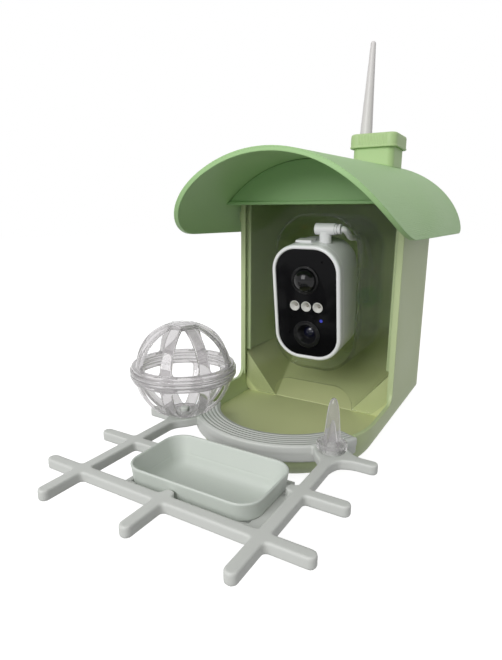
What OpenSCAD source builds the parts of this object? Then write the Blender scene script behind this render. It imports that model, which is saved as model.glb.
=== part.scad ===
// Bird feeder with a camera: hopper housing, arched roof, seed tray, perch frame, dish, spike and suet ball.
// Millimetres, Z up, front towards -Y. Origin on the base plane, under the middle of the window's front face.

/* [Housing] */
// Width over the side walls
body_w = 130; // [124:1:140]
// Centre of the tray's round front, ahead of the window
tray_reach = 42; // [36:1:50]
// Centre of the round back, behind the window
hopper_reach = 80; // [72:1:90]
// Wall thickness
wall = 2.6; // [2:0.1:3.4]
// Rounding along the bottom edges
base_round = 22; // [14:1:24]
// Height of the tray's side rims
rim_z = 28; // [26:1:34]
// Height of the seed floor
floor_z = 14; // [11:0.5:16]

/* [Roof] */
// Outer radius of the arched sheet
roof_r = 90; // [87:1:104]
// Sheet thickness
roof_t = 3; // [2:0.1:4]
// Height of the arch's axis at the front edge
roof_axis_z = 111.5; // [104:0.1:118]
// Rise of the ridge towards the back, degrees
roof_tilt = 2; // [0:0.5:3]
// Front edge ahead of the window
roof_front = 84; // [70:1:100]
// Rear edge behind the window
roof_rear = 150; // [148:1:170]
// Height of the eaves
eave_z = 148.4; // [142:0.1:152]
// Rounding of the front eave corners
eave_round_front = 40; // [10:1:44]
// Rounding of the rear eave corners
eave_round_rear = 45; // [10:1:50]
// Gable board ahead of the window
gable_y = 20; // [14:1:30]
// Lower edge of the gable board
gable_z = 170; // [166:1:176]

/* [Filler chimney] */
// Outer width of the square neck
neck_w = 36.5; // [32:0.5:44]
// Top of the neck
neck_top = 228.5; // [224:0.5:236]
// Neck centre to the right of the middle
neck_x = 9; // [0:0.5:14]
// Neck centre behind the window
neck_y = 115; // [100:1:118]
// Height of the lid's skirt
lid_h = 12; // [9:0.5:16]

/* [Window] */
// Clear sheet thickness
pane_t = 2.2; // [1.8:0.1:2.6]
// Width of the camera opening
opening_w = 66; // [62:1:72]
// Lower edge of the camera opening
opening_low = 45; // [42:0.5:47]
// Upper edge of the camera opening
opening_high = 162; // [159:0.5:166]
// Corner rounding of the camera opening
opening_round = 26; // [16:1:30]
// Width of the seed outlet
outlet_w = 68; // [56:1:76]
// Top of the seed outlet
outlet_high = 32.5; // [28:0.5:36]
// Depth of the camera tunnel
tunnel_depth = 62; // [60:1:70]

/* [Camera] */
// Case width
cam_w = 54; // [50:1:56]
// Case height
cam_h = 89; // [84:1:92]
// Case depth
cam_d = 44; // [42:1:46]
// Corner rounding of the case
cam_round = 20; // [14:1:24]
// Face centre ahead of the window
cam_out = 16; // [12:1:20]
// Height of the face centre
cam_z = 97.7; // [95:0.1:100]
// Downward tilt as pictured, degrees
cam_tilt = 8.5; // [4:0.5:10]

/* [Aerial] */
// Aerial to the left of the middle
aerial_x = 21.5; // [14:0.5:26]
// Height of the aerial jack
jack_z = 110; // [100:1:120]
// Length of the rod above its hinge
rod_len = 215.5; // [160:0.5:240]
// Radius of the rod's thick lower part
rod_r = 6.9; // [5:0.1:8]
// Lean of the rod as pictured, degrees
rod_lean = 1.6; // [0:0.1:4]
// Length of the rod's taper below its tip
rod_taper = 105; // [80:1:130]

/* [Perch frame] */
// Width of the bars
bar_w = 6.6; // [5:0.2:9]
// Height of the bars
bar_h = 6; // [5:0.5:8]
// Half spacing of the two long bars
long_bar_x = 56; // [52:1:64]
// Half length of the cross bars
cross_reach = 82; // [74:1:100]
// Front cross bar ahead of the window
front_bar_y = 182; // [181:1:200]
// Middle cross bar ahead of the window
middle_bar_y = 141; // [139:1:146]
// Front tips of the long bars ahead of the window
tip_y = 209; // [205:1:240]
// Width of the ridged collar
collar_w = 16; // [12:1:20]
// Half angle of the collar, degrees
collar_span = 66; // [58:1:72]
// Count of grooves on the collar
collar_grooves = 4; // [2:1:5]

/* [Dish] */
// Dish width at the rim
dish_w = 81; // [60:0.5:84]
// Dish depth front to back at the rim
dish_d = 48; // [34:1:52]
// Dish height
dish_h = 19; // [14:0.5:24]
// Dish centre to the right of the middle
dish_x = 6.3; // [-4:0.1:10]

/* [Suet ball and spike] */
// Outer radius of the ball
ball_r = 33; // [30:0.5:38]
// Width of the ball's ribs
rib_w = 7.5; // [4:0.5:9]
// Count of rib hoops over the ball
hoops = 4; // [2:1:5]
// Seats of ball and spike to the side of the middle
seat_x = 54; // [50:1:58]
// Seats of ball and spike ahead of the window
seat_y = 94; // [90:1:100]
// Height of the spike above its cup
spike_h = 26; // [18:1:36]

/* [Hidden] */
$fn = 64;
far = 400;
fit = 0.3;
half = body_w / 2;
inner = half - wall;
inner_round = 6;
lip = 1.4;
pane_y = 0.2;
pane_back = pane_y + pane_t;
pane_half = inner - fit;
pane_low = floor_z + 1.3;
pane_corner = 14;
pane_top = max(gable_z + 4, opening_high + 8);
ramp_top = pane_low + 34.5;
outlet_half = outlet_w / 2;
ramp_angle = atan2(ramp_top - pane_low, inner - outlet_half);
back_angle = 16;
sheet = 3;
roof_in = roof_r - roof_t;
roof_lead = 80;
pocket_x = half - base_round - 3;
pocket_front = -tray_reach - 26;
pocket_back = hopper_reach + 30;
pocket_round = 12;
pocket_top = floor_z - 3;
pan_gap = 0.1;
cover_t = wall;
boss_r = 4.5;
boss_rib = 2.4;
boss_top = pocket_top - pan_gap;
socket_y = 30;
socket_r = 5;
screw_x = pocket_x - 9;
screw_ys = [pocket_front + 10, pocket_back - 10];
lid_w = neck_w + 6;
lid_gap = 0.5;
neck_wall = 2.5;
neck_round = 6;
throat_round = 3;
spigot_w = neck_w - 4;
spigot_drop = 8;
catch_y = 4;
catch_size = [4.5, 9, 8];
catch_drop = 6.3;
catch_out = half + catch_size[0];
catch_z = roof_axis_z + sqrt(pow(roof_in - fit, 2) - catch_out * catch_out) - catch_drop;
clip_y = catch_y + 3;
seal_t = 1.5;
seal_edge = 0.2;
seal_w = 3.8;
seal_hole = neck_w - 2 * (seal_edge + seal_w);
tunnel_wall = 2;
tunnel_back = pane_back + tunnel_depth;
back_y = hopper_reach + half;
jack_wall_y = hopper_reach + sqrt(inner * inner - aerial_x * aerial_x);
jack_outer_y = hopper_reach + sqrt(half * half - aerial_x * aerial_x);
boss_out = 2.6;
swivel_len = 9;
swivel_y = max(jack_outer_y + 9, roof_rear + rod_r + 3 - swivel_len);
hinge_y = swivel_y + swivel_len;
pad_w = 46;
pad_low = 18;
pad_high = 66;
pad_y = back_y + 5;
insert_len = pad_y - back_y + wall - 0.2;
insert_z = [28, 56];
ring_z = 82;
ring_flange = 10.5;
ring_y = hopper_reach + sqrt(inner * inner - ring_flange * ring_flange) - 1.85;
pivot_y = cam_d + 7;
face_y = 1;
face_t = 3;
dome_z = 18.7;
dome_r = 9.5;
lamp_gap = 9.3;
lamp_z = -1.6;
lamp_r = 3.9;
lens_z = -23.6;
lens_r = 8.6;
light_at = [11.8, -11.8];
light_r = 1.2;
face_holes = [[-11.6, -11.2, 0.9], [-13.8, -24, 1.5], [13.5, 32.5, 0.7]];
board_y = 12;
board_t = 1.6;
cell_r = 9.3;
cell_len = cam_h - 24;
plug_x = 10;
plug_y = 16.5;
plug_rise = 9;
plug_end = plug_x + 12.2;
function cam_depth(y, z) = -cam_out + y * cos(cam_tilt) - z * sin(cam_tilt);
function cam_height(y, z) = cam_z + y * sin(cam_tilt) + z * cos(cam_tilt);
plug_at = [plug_x, cam_depth(plug_y, cam_h / 2 + plug_rise), cam_height(plug_y, cam_h / 2 + plug_rise)];
pivot_at = [0, cam_depth(pivot_y, 0), cam_height(pivot_y, 0)];
collar_r = half + fit + 1.5;
collar_in = collar_r - collar_w - 1.5;
collar_top = rim_z;
collar_plate = 5;
rim_low = collar_top - collar_plate - 0.2;
bar_low = rim_z - bar_h;
plate_top = bar_low + 0.5;
plate_t = 2.5;
rear_bar_y = seat_y + 2;
dish_gap = 4.2;
dish_drop = 9;
dish_low = plate_top - dish_drop;
dish_step = 1.2;
dish_in = 4;
dish_y = front_bar_y - bar_w / 2 - dish_gap - dish_d / 2;
dish_round = 12;
dish_t = 1.8;
ball_z = rim_z + ball_r - 0.7;
ball_t = 2.2;
ball_band = 5;
band_r = ball_r + 2.7;
rib_phase = 18;
tip_r = rod_r * 0.36;
hub_r = 11.5;
peg_r = 3;
peg_h = 5;
cup_r = 9;
cup_h = 6;
green = [0.55, 0.66, 0.45];
tray_green = [0.66, 0.72, 0.46];
pale = [0.80, 0.83, 0.79];
clear = [0.88, 0.90, 0.91, 0.35];
white = [0.93, 0.93, 0.94];
black = [0.05, 0.05, 0.06];
steel = [0.72, 0.73, 0.75];
brass = [0.78, 0.62, 0.32];

// Lead route from the plug on the camera to the aerial jack
lead_r = 2.2;
lead_side_x = opening_w / 2 - 8;
lead_z = plug_at[2];
lead_hole = [14, tunnel_back - tunnel_wall / 2, lead_z - 29];
lead_start = [plug_end + 0.4, plug_at[1], lead_z];
lead_bend = [lead_side_x, plug_at[1] + 4, lead_z - 2];
lead_points = [[plug_x, lead_bend[1], lead_bend[2]], lead_start, lead_bend,
  [lead_side_x - 0.5, pane_back + 4, lead_z - 6], [lead_side_x - 0.5, 20, lead_z - 7],
  [lead_side_x - 1.5, 31, lead_z - 10], [19, tunnel_back - 16, lead_z - 21], lead_hole,
  [6, tunnel_back + 16, lead_z - 35], [-4, tunnel_back + 30, jack_z + 4],
  [-aerial_x, jack_wall_y - 20, jack_z], [-aerial_x, jack_wall_y - 3.2, jack_z],
  [-aerial_x, jack_wall_y + 20, jack_z]];
lead_steps = 6;

module rounded_rect(w, h, r) {
  square([w - 2 * r, h], center = true);
  square([w, h - 2 * r], center = true);
  for (sx = [-1, 1], sy = [-1, 1])
    translate([sx * (w / 2 - r), sy * (h / 2 - r)])
      circle(r);
}

// Prism along Y between two depths, drawn in X and Z
module along_y(y0, y1) {
  translate([0, y1, 0])
    rotate([90, 0, 0])
      linear_extrude(y1 - y0)
        children();
}

module trough_section(r, b, z0, z1) {
  translate([-r, z0 + b])
    square([2 * r, z1 - z0 - b]);
  translate([-(r - b), z0])
    square([2 * (r - b), b]);
  for (s = [-1, 1])
    translate([s * (r - b), z0 + b])
      circle(b);
}

module half_section(r, b, z0, z1) {
  translate([0, z0])
    square([r - b, z1 - z0]);
  translate([0, z0 + b])
    square([r, z1 - z0 - b]);
  translate([r - b, z0 + b])
    circle(b);
}

// Stadium trough: round bowl in front, straight sides, upright round back
module trough(r, b, z0, z1) {
  intersection() {
    along_y(-tray_reach, hopper_reach + r + 1)
      trough_section(r, b, z0, z1);
    union() {
      translate([-r, -tray_reach - 1, z0 - 1])
        cube([2 * r, tray_reach + hopper_reach + 1, z1 - z0 + 2]);
      translate([0, hopper_reach, z0 - 1])
        cylinder(r = r, h = z1 - z0 + 2);
    }
  }
  intersection() {
    translate([0, -tray_reach, 0])
      rotate_extrude()
        half_section(r, b, z0, z1);
    translate([-far, -far, -far])
      cube([2 * far, far - tray_reach, 2 * far]);
  }
}

// Everything under the roof sheet of the given radius
module under_roof(r) {
  translate([0, -roof_front, roof_axis_z])
    rotate([-90 + roof_tilt, 0, 0])
      translate([0, 0, -roof_lead])
        cylinder(r = r, h = far);
  translate([-far, -far, -far])
    cube([2 * far, 2 * far, far + roof_axis_z]);
}

// Upright wedge facing forward from the tray's centre
module wedge(a) {
  translate([0, -tray_reach, -10])
    intersection() {
      rotate([0, 0, a])
        translate([-far, -far, 0])
          cube([far, 2 * far, far]);
      rotate([0, 0, -a])
        translate([0, -far, 0])
          cube([far, 2 * far, far]);
    }
}

module ring(r0, r1, z0, z1) {
  translate([0, -tray_reach, z0])
    difference() {
      cylinder(r = r1, h = z1 - z0);
      translate([0, 0, -1])
        cylinder(r = r0, h = z1 - z0 + 2);
    }
}

module open_front() {
  corner = 8;
  front = -lip - 0.1;
  translate([-far, -far, rim_z + corner])
    cube([2 * far, far + front, far]);
  translate([-far, -far, rim_z])
    cube([2 * far, far + front - corner, far]);
  translate([-far, front - corner, rim_z + corner])
    rotate([0, 90, 0])
      cylinder(r = corner, h = 2 * far);
}

module housing_shell() {
  color(green)
    difference() {
      union() {
        difference() {
          intersection() {
            trough(half, base_round, 0, far / 1.5);
            under_roof(roof_in - fit);
          }
          trough(inner, base_round - wall, wall, far);
          open_front();
        }
        intersection() {
          under_roof(roof_in - fit);
          for (s = [-1, 1]) {
            translate([s * (inner - lip / 2 + 0.05), -lip / 2, pane_low + pane_corner])
              translate([-lip / 2 - 0.05, -lip / 2, 0])
                cube([lip + 0.1, lip, far]);
            translate([s * (inner - 2.1) - 2.2, pane_back + 0.2, ramp_top + 1])
              cube([4.4, 2.4, far]);
          }
        }
        translate([0, back_y - 2, ring_z])
          rotate([-90, 0, 0])
            cylinder(r = 11, h = 3.2);
        translate([-aerial_x, jack_wall_y - boss_out, jack_z])
          rotate([-90, 0, 0])
            cylinder(r = 7, h = jack_outer_y - jack_wall_y + 2 * boss_out);
      }
      translate([-pocket_x, pocket_front, -1])
        linear_extrude(pocket_top + 1)
          translate([pocket_x, (pocket_back - pocket_front) / 2])
            rounded_rect(2 * pocket_x, pocket_back - pocket_front, pocket_round);
      intersection() {
        ring(half - wall - 8, half + 5, rim_low, far);
        wedge(collar_span + 0.6);
      }
      translate([0, back_y - 20, ring_z])
        rotate([-90, 0, 0])
          cylinder(r = 8.5, h = 30);
      translate([-aerial_x, back_y - 40, jack_z])
        rotate([-90, 0, 0])
          cylinder(r = 3.5, h = 60);
      for (z = insert_z)
        translate([0, back_y - 20, z])
          rotate([-90, 0, 0])
            cylinder(r = 3.4, h = 40);
    }
  color(green)
    for (side = [0, 1], y = screw_ys)
      mirror([side, 0, 0])
        translate([screw_x, y, 0])
          screw_boss();
}

// Boss for a cover screw, tied by a rib to the bottom skin beside the pocket
module screw_boss() {
  edge = pocket_x - screw_x;
  difference() {
    union() {
      translate([0, 0, cover_t])
        cylinder(r = boss_r, h = boss_top - cover_t);
      translate([0, -boss_rib / 2, cover_t])
        cube([edge + boss_r, boss_rib, boss_top - cover_t]);
      translate([edge + 0.5, -boss_rib / 2, cover_t / 2])
        cube([boss_r - 0.5, boss_rib, boss_top - cover_t / 2]);
    }
    translate([0, 0, cover_t - 1])
      cylinder(r = 1.5, h = 7);
  }
}

module tray_pan() {
  color(tray_green)
    intersection() {
      trough(inner - pan_gap, base_round - wall - pan_gap, wall + pan_gap, far / 2);
      translate([-far, -far, pocket_top])
        cube([2 * far, 2 * far, floor_z - pocket_top]);
    }
}

module above_ramp(drop, side) {
  mirror([side, 0, 0])
    translate([outlet_half, 0, pane_low - drop])
      rotate([0, -ramp_angle, 0])
        translate([-far, -far, 0])
          cube([2 * far, 2 * far, far]);
}

module above_back(drop) {
  translate([0, 8, pane_low - drop])
    rotate([back_angle, 0, 0])
      translate([-far, -far, 0])
        cube([2 * far, 2 * far, far]);
}

module hopper_floor() {
  color(tray_green)
    difference() {
      intersection() {
        trough(inner - fit, inner_round, floor_z, ramp_top + 34);
        translate([-far, pane_back + 0.4, 0])
          cube([2 * far, far, far]);
        union() {
          intersection() {
            above_ramp(sheet * 1.6, 0);
            above_ramp(sheet * 1.6, 1);
            above_back(sheet);
          }
          translate([-far, 0, 0])
            cube([2 * far, pane_back + 3, ramp_top]);
        }
      }
      intersection() {
        above_ramp(0, 0);
        above_ramp(0, 1);
        above_back(0);
      }
    }
}

module base_cover() {
  color(green)
    difference() {
      union() {
        translate([0, (pocket_front + pocket_back) / 2, 0])
          linear_extrude(cover_t)
            rounded_rect(2 * pocket_x - 2 * fit, pocket_back - pocket_front - 2 * fit, pocket_round - fit);
        translate([0, socket_y, 0])
          cylinder(r = socket_r + 4, h = pocket_top - 0.2);
      }
      translate([0, socket_y, -1])
        cylinder(r = socket_r, h = far);
      for (sx = [-1, 1], y = screw_ys)
        translate([sx * screw_x, y, -1]) {
          cylinder(r = 1.8, h = cover_t + 2);
          cylinder(r = 3.4, h = 2.4);
        }
    }
}

module base_screws() {
  color(steel)
    for (sx = [-1, 1], y = screw_ys)
      translate([sx * screw_x, y, 0]) {
        translate([0, 0, 0.2])
          cylinder(r = 3, h = 1.2);
        cylinder(r = 1.5, h = cover_t + 5);
      }
}

module base_insert() {
  color(brass)
    translate([0, socket_y, 0.2])
      difference() {
        cylinder(r = socket_r, h = pocket_top - 0.6);
        translate([0, 0, -1])
          cylinder(r = 3.2, h = far);
      }
}

module pane_outline() {
  difference() {
    translate([-pane_half, pane_low])
      square([2 * pane_half, pane_top - pane_low]);
    for (s = [-1, 1])
      translate([s * pane_half, pane_low])
        rotate(45)
          square(pane_corner * 1.3, center = true);
    translate([0, (opening_low + opening_high) / 2])
      rounded_rect(opening_w, opening_high - opening_low, opening_round);
    translate([0, pane_low + (outlet_high - pane_low) / 2 - 10])
      rounded_rect(outlet_w, outlet_high - pane_low + 20, 15);
  }
}

module front_window() {
  color(clear)
    intersection() {
      along_y(pane_y, pane_back)
        pane_outline();
      under_roof(roof_in - fit);
    }
}

module camera_tunnel() {
  mid = (opening_low + opening_high) / 2;
  tall = opening_high - opening_low;
  color(clear)
    difference() {
      along_y(pane_back, tunnel_back)
        translate([0, mid])
          rounded_rect(opening_w + 2 * tunnel_wall, tall + 2 * tunnel_wall, opening_round + tunnel_wall);
      along_y(pane_back - 1, tunnel_back - tunnel_wall)
        translate([0, mid])
          rounded_rect(opening_w, tall, opening_round);
      translate([lead_hole[0], tunnel_back - 10, lead_hole[2]])
        rotate([-90, 0, 0])
          cylinder(r = lead_r + 3.3, h = 30);
    }
}

module roof_outline() {
  z0 = eave_z;
  difference() {
    translate([-roof_front, z0])
      square([roof_front + roof_rear, far]);
    translate([-roof_front - 1, z0 - 1])
      square([eave_round_front + 1, eave_round_front + 1]);
    translate([roof_rear - eave_round_rear, z0 - 1])
      square([eave_round_rear + 1, eave_round_rear + 1]);
  }
  translate([-roof_front + eave_round_front, z0 + eave_round_front])
    circle(eave_round_front);
  translate([roof_rear - eave_round_rear, z0 + eave_round_rear])
    circle(eave_round_rear);
}

module roof_shell() {
  color(green)
    intersection() {
      difference() {
        translate([0, -roof_front, roof_axis_z])
          rotate([-90 + roof_tilt, 0, 0])
            translate([0, 0, -roof_lead])
              difference() {
                cylinder(r = roof_r, h = far);
                translate([0, 0, -1])
                  cylinder(r = roof_in, h = far + 2);
              }
        translate([neck_x - spigot_w / 2 - fit, neck_y - spigot_w / 2 - fit, roof_axis_z])
          cube([spigot_w + 2 * fit, spigot_w + 2 * fit, far]);
      }
      translate([-far, 0, 0])
        rotate([90, 0, 90])
          linear_extrude(2 * far)
            roof_outline();
    }
}

module gable_board() {
  color(green)
    intersection() {
      under_roof(roof_in - fit);
      union() {
        translate([-far, -gable_y, gable_z])
          cube([2 * far, 3, far]);
        translate([-far, -gable_y - 1.5, gable_z])
          cube([2 * far, 3, 2.2]);
      }
    }
}

module roof_catches() {
  color(green)
    intersection() {
      under_roof(roof_in - fit);
      for (s = [0, 1])
        mirror([s, 0, 0]) {
          translate([half, catch_y, catch_z])
            cube(catch_size);
          translate([half, clip_y, catch_z])
            cube([2, 3, far]);
        }
    }
}

module filler_neck() {
  color(green)
    difference() {
      union() {
        difference() {
          translate([neck_x, neck_y, roof_axis_z])
            linear_extrude(neck_top - roof_axis_z)
              rounded_rect(neck_w, neck_w, neck_round);
          under_roof(roof_r);
        }
        translate([neck_x, neck_y, roof_axis_z + roof_in - spigot_drop])
          linear_extrude(neck_top - roof_axis_z - roof_in + spigot_drop)
            rounded_rect(spigot_w, spigot_w, 4);
      }
      translate([neck_x, neck_y, 0])
        linear_extrude(far)
          rounded_rect(spigot_w - 2 * neck_wall, spigot_w - 2 * neck_wall, throat_round);
    }
}

module filler_lid() {
  grip_count = 7;
  top = neck_top + seal_t + 2.5;
  color(green)
    translate([neck_x, neck_y, 0]) {
      difference() {
        translate([0, 0, top - lid_h])
          linear_extrude(lid_h)
            rounded_rect(lid_w, lid_w, 7);
        translate([0, 0, top - lid_h - 1])
          linear_extrude(lid_h - 1.5)
            rounded_rect(neck_w + 2 * lid_gap, neck_w + 2 * lid_gap, neck_round + lid_gap);
      }
      for (k = [0:grip_count - 1], a = [0, 180])
        rotate([0, 0, a])
          translate([(k - (grip_count - 1) / 2) * 3, -lid_w / 2, top - lid_h])
            cylinder(r = 0.6, h = lid_h - 2);
    }
}

module lid_seal() {
  color(black)
    translate([neck_x, neck_y, neck_top])
      linear_extrude(seal_t)
        difference() {
          rounded_rect(neck_w - 2 * seal_edge, neck_w - 2 * seal_edge, neck_round - seal_edge);
          rounded_rect(seal_hole, seal_hole, throat_round);
        }
}

module rear_pad() {
  color(green)
    difference() {
      translate([0, 0, pad_low])
        linear_extrude(pad_high - pad_low)
          translate([-pad_w / 2, hopper_reach])
            square([pad_w, pad_y - hopper_reach]);
      translate([0, hopper_reach, 0])
        cylinder(r = half, h = far);
      for (z = insert_z)
        translate([0, hopper_reach, z])
          rotate([-90, 0, 0])
            cylinder(r = 3.4, h = far);
    }
}

module rear_inserts() {
  color(brass)
    for (z = insert_z)
      translate([0, pad_y - insert_len, z])
        rotate([-90, 0, 0])
          difference() {
            cylinder(r = 3.4, h = insert_len);
            translate([0, 0, 1])
              cylinder(r = 2.1, h = insert_len);
          }
}

module back_ring() {
  color([0.42, 0.72, 0.30])
    translate([0, ring_y, ring_z])
      rotate([-90, 0, 0])
        difference() {
          union() {
            cylinder(r = 8.4, h = back_y + 1.2 - ring_y);
            cylinder(r = ring_flange, h = 1.8);
          }
          translate([0, 0, -1])
            cylinder(r = 5.5, h = 20);
        }
}

module aerial_jack() {
  color(brass)
    translate([-aerial_x, jack_wall_y - 6, jack_z])
      rotate([-90, 0, 0])
        difference() {
          cylinder(r = 3.2, h = swivel_y - jack_wall_y + 9);
          translate([0, 0, -1])
            cylinder(r = lead_r + 0.1, h = 4);
        }
}

module jack_nut() {
  color(brass)
    for (y = [jack_wall_y - boss_out - 2.4, jack_outer_y + boss_out])
      translate([-aerial_x, y, jack_z])
        rotate([-90, 0, 0])
          difference() {
            cylinder(r = 5.6, h = 2.4, $fn = 6);
            translate([0, 0, -1])
              cylinder(r = 3.2, h = 8);
          }
}

module aerial_swivel() {
  color(white)
    translate([-aerial_x, swivel_y, jack_z])
      rotate([0, rod_lean, 0])
        difference() {
          union() {
            rotate([-90, 0, 0])
              cylinder(r = 6.5, h = 5);
            translate([-6, 2, -6])
              cube([12, swivel_len - 2, 12]);
            translate([-6, swivel_len, 0])
              rotate([0, 90, 0])
                cylinder(r = 6, h = 12);
          }
          translate([0, -1, 0])
            rotate([-90, 0, 0])
              cylinder(r = 3.26, h = 4.05);
          translate([-3.3, 4.5, -20])
            cube([6.6, 40, 40]);
          translate([-20, swivel_len, 0])
            rotate([0, 90, 0])
              cylinder(r = 1.5, h = 40);
        }
}

module aerial_rod() {
  color(white)
    translate([-aerial_x, hinge_y, jack_z])
      rotate([0, rod_lean, 0]) {
        rotate([0, 90, 0])
          translate([0, 0, -3])
            cylinder(r = 4, h = 6);
        rotate([0, 90, 0])
          translate([0, 0, -6])
            cylinder(r = 1.45, h = 12);
        translate([-3, -3.6, 0])
          cube([6, 7.2, 14]);
        translate([0, 0, 12])
          cylinder(r = rod_r, h = rod_len - rod_taper - 12);
        translate([0, 0, rod_len - rod_taper])
          cylinder(r1 = rod_r, r2 = tip_r, h = rod_taper - tip_r);
        translate([0, 0, rod_len - tip_r])
          sphere(r = tip_r);
      }
}

// Camera frame: origin at the face centre, Y into the case
module cam_place() {
  translate([0, -cam_out, cam_z])
    rotate([cam_tilt, 0, 0])
      children();
}

module cam_bezel() {
  color(white)
    cam_place()
      difference() {
        along_y(0, 7)
          rounded_rect(cam_w, cam_h, cam_round);
        along_y(-1, 8)
          rounded_rect(cam_w - 6, cam_h - 6, cam_round - 3);
      }
}

module cam_shell() {
  color(white)
    cam_place()
      difference() {
        union() {
          along_y(7, cam_d - 4)
            rounded_rect(cam_w, cam_h, cam_round);
          along_y(cam_d - 4, cam_d)
            rounded_rect(cam_w - 6, cam_h - 6, cam_round - 3);
          translate([-4, cam_d - 1, -7])
            cube([8, 7, 14]);
          translate([-4, pivot_y, 0])
            rotate([0, 90, 0])
              cylinder(r = 7, h = 8);
        }
        along_y(6, cam_d - 6)
          rounded_rect(cam_w - 4, cam_h - 4, cam_round - 2);
        translate([-20, pivot_y, 0])
          rotate([0, 90, 0])
            cylinder(r = 2.05, h = 40);
      }
}

module cam_face() {
  color(black)
    cam_place()
      difference() {
        along_y(face_y, face_y + face_t)
          rounded_rect(cam_w - 6.4, cam_h - 6.4, cam_round - 3.2);
        translate([0, 0, dome_z])
          rotate([-90, 0, 0])
            cylinder(r = dome_r + 0.1, h = 10);
        for (x = [-lamp_gap, 0, lamp_gap])
          translate([x, 0, lamp_z])
            rotate([-90, 0, 0])
              cylinder(r = lamp_r, h = 10);
        translate([0, 0, lens_z])
          rotate([-90, 0, 0])
            cylinder(r = lens_r, h = 10);
        translate([light_at[0], 0, light_at[1]])
          rotate([-90, 0, 0])
            cylinder(r = light_r, h = 10);
        for (p = face_holes)
          translate([p[0], 0, p[1]])
            rotate([-90, 0, 0])
              cylinder(r = p[2], h = 2);
      }
}

module motion_dome() {
  color([0.08, 0.08, 0.09])
    cam_place()
      translate([0, face_y + face_t, dome_z])
        rotate([90, 0, 0]) {
          rotate_extrude()
            intersection() {
              translate([0, 1.5])
                circle(dome_r);
              square(20);
            }
          translate([0, 0, face_t])
            difference() {
              cylinder(r = dome_r + 1.1, h = 1);
              translate([0, 0, -1])
                cylinder(r = dome_r - 0.5, h = 3);
            }
        }
}

module lamp_cups() {
  color([0.85, 0.85, 0.84])
    cam_place()
      for (x = [-lamp_gap, 0, lamp_gap])
        translate([x, face_y - 0.2, lamp_z])
          rotate([-90, 0, 0])
            difference() {
              cylinder(r = lamp_r, h = 4);
              translate([0, 0, -0.1])
                cylinder(r1 = lamp_r - 0.4, r2 = 1.4, h = 3.2);
            }
}

module lamp_emitters() {
  color([0.95, 0.93, 0.75])
    cam_place()
      for (x = [-lamp_gap, 0, lamp_gap])
        translate([x, face_y + 2.9, lamp_z])
          rotate([90, 0, 0])
            rotate_extrude()
              intersection() {
                circle(1.25);
                square(4);
              }
}

module lens_ring() {
  color(black)
    cam_place()
      translate([0, 0, lens_z])
        rotate([-90, 0, 0])
          difference() {
            union() {
              cylinder(r = lens_r, h = board_y);
              translate([0, 0, face_y - 0.8])
                cylinder(r = lens_r + 2.2, h = 0.8);
            }
            translate([0, 0, -1])
              cylinder(r1 = lens_r - 0.2, r2 = 4.6, h = 6);
            translate([0, 0, 3])
              cylinder(r = 4.5, h = 6);
          }
}

module lens_glass() {
  color([0.1, 0.12, 0.2])
    cam_place()
      intersection() {
        translate([0, 10.5, lens_z])
          sphere(r = 6.5);
        translate([0, 2, lens_z])
          rotate([-90, 0, 0])
            cylinder(r = 4.5, h = 7);
      }
}

module status_light() {
  color([0.2, 0.3, 0.95])
    cam_place()
      translate([light_at[0], face_y - 0.1, light_at[1]])
        rotate([-90, 0, 0])
          cylinder(r = light_r, h = 3);
}

module cam_board() {
  color([0.1, 0.35, 0.2])
    cam_place()
      along_y(board_y, board_y + board_t)
        rounded_rect(cam_w - 4, cam_h - 4, cam_round - 2);
}

module battery_cells() {
  color([0.35, 0.5, 0.75])
    cam_place()
      for (s = [-1, 1])
        translate([s * (cell_r + 0.3), board_y + board_t + cell_r + 0.2, -cell_len / 2])
          cylinder(r = cell_r, h = cell_len);
}

module port_flap() {
  color([0.86, 0.86, 0.87])
    cam_place()
      translate([-11, 10, cam_h / 2]) {
        cube([12.5, 9, 1.6]);
        translate([0, 9, 0.8])
          rotate([0, 90, 0])
            cylinder(r = 0.8, h = 12.5);
      }
}

module elbow_plug() {
  color(white)
    cam_place() {
      difference() {
        translate([plug_x, plug_y, cam_h / 2 - 3])
          cylinder(r = 4.4, h = 10);
        along_y(0, cam_d)
          rounded_rect(cam_w, cam_h, cam_round);
      }
      translate([0, plug_y, cam_h / 2 + plug_rise])
        rotate([0, 90, 0]) {
          translate([0, 0, plug_x - 7])
            cylinder(r = 4.2, h = 15);
          for (x = [8, 10.6])
            translate([0, 0, plug_x + x])
              cylinder(r = 3.6, h = 1.6);
          translate([0, 0, plug_x])
            cylinder(r = 3, h = plug_end - plug_x);
        }
    }
}

function spline(a, b, c, d, t) =
  0.5 * (2 * b + (c - a) * t + (2 * a - 5 * b + 4 * c - d) * t * t + (3 * b - a - 3 * c + d) * t * t * t);
lead_path = concat(
  [for (i = [0:len(lead_points) - 4], k = [0:lead_steps - 1])
    spline(lead_points[i], lead_points[i + 1], lead_points[i + 2], lead_points[i + 3], k / lead_steps)],
  [lead_points[len(lead_points) - 2]]);
lead_count = len(lead_path);
lead_sides = 8;
function lead_dir(i) =
  let (d = lead_path[min(i + 1, lead_count - 1)] - lead_path[max(i - 1, 0)])
  d / norm(d);
function lead_side(i) =
  let (s = cross(lead_dir(i), [0, 0, 1]))
  s / norm(s);
lead_mesh = [for (i = [0:lead_count - 1], k = [0:lead_sides - 1])
  let (u = lead_side(i), v = cross(lead_dir(i), u), a = 360 * k / lead_sides)
  lead_path[i] + lead_r * (u * cos(a) + v * sin(a))];
lead_faces = concat(
  [for (i = [0:lead_count - 2], k = [0:lead_sides - 1])
    let (n = (k + 1) % lead_sides, a = i * lead_sides, b = (i + 1) * lead_sides)
    [a + k, b + k, b + n, a + n]],
  [[for (k = [0:lead_sides - 1]) k]],
  [[for (k = [0:lead_sides - 1]) (lead_count - 1) * lead_sides + lead_sides - 1 - k]]);

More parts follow.
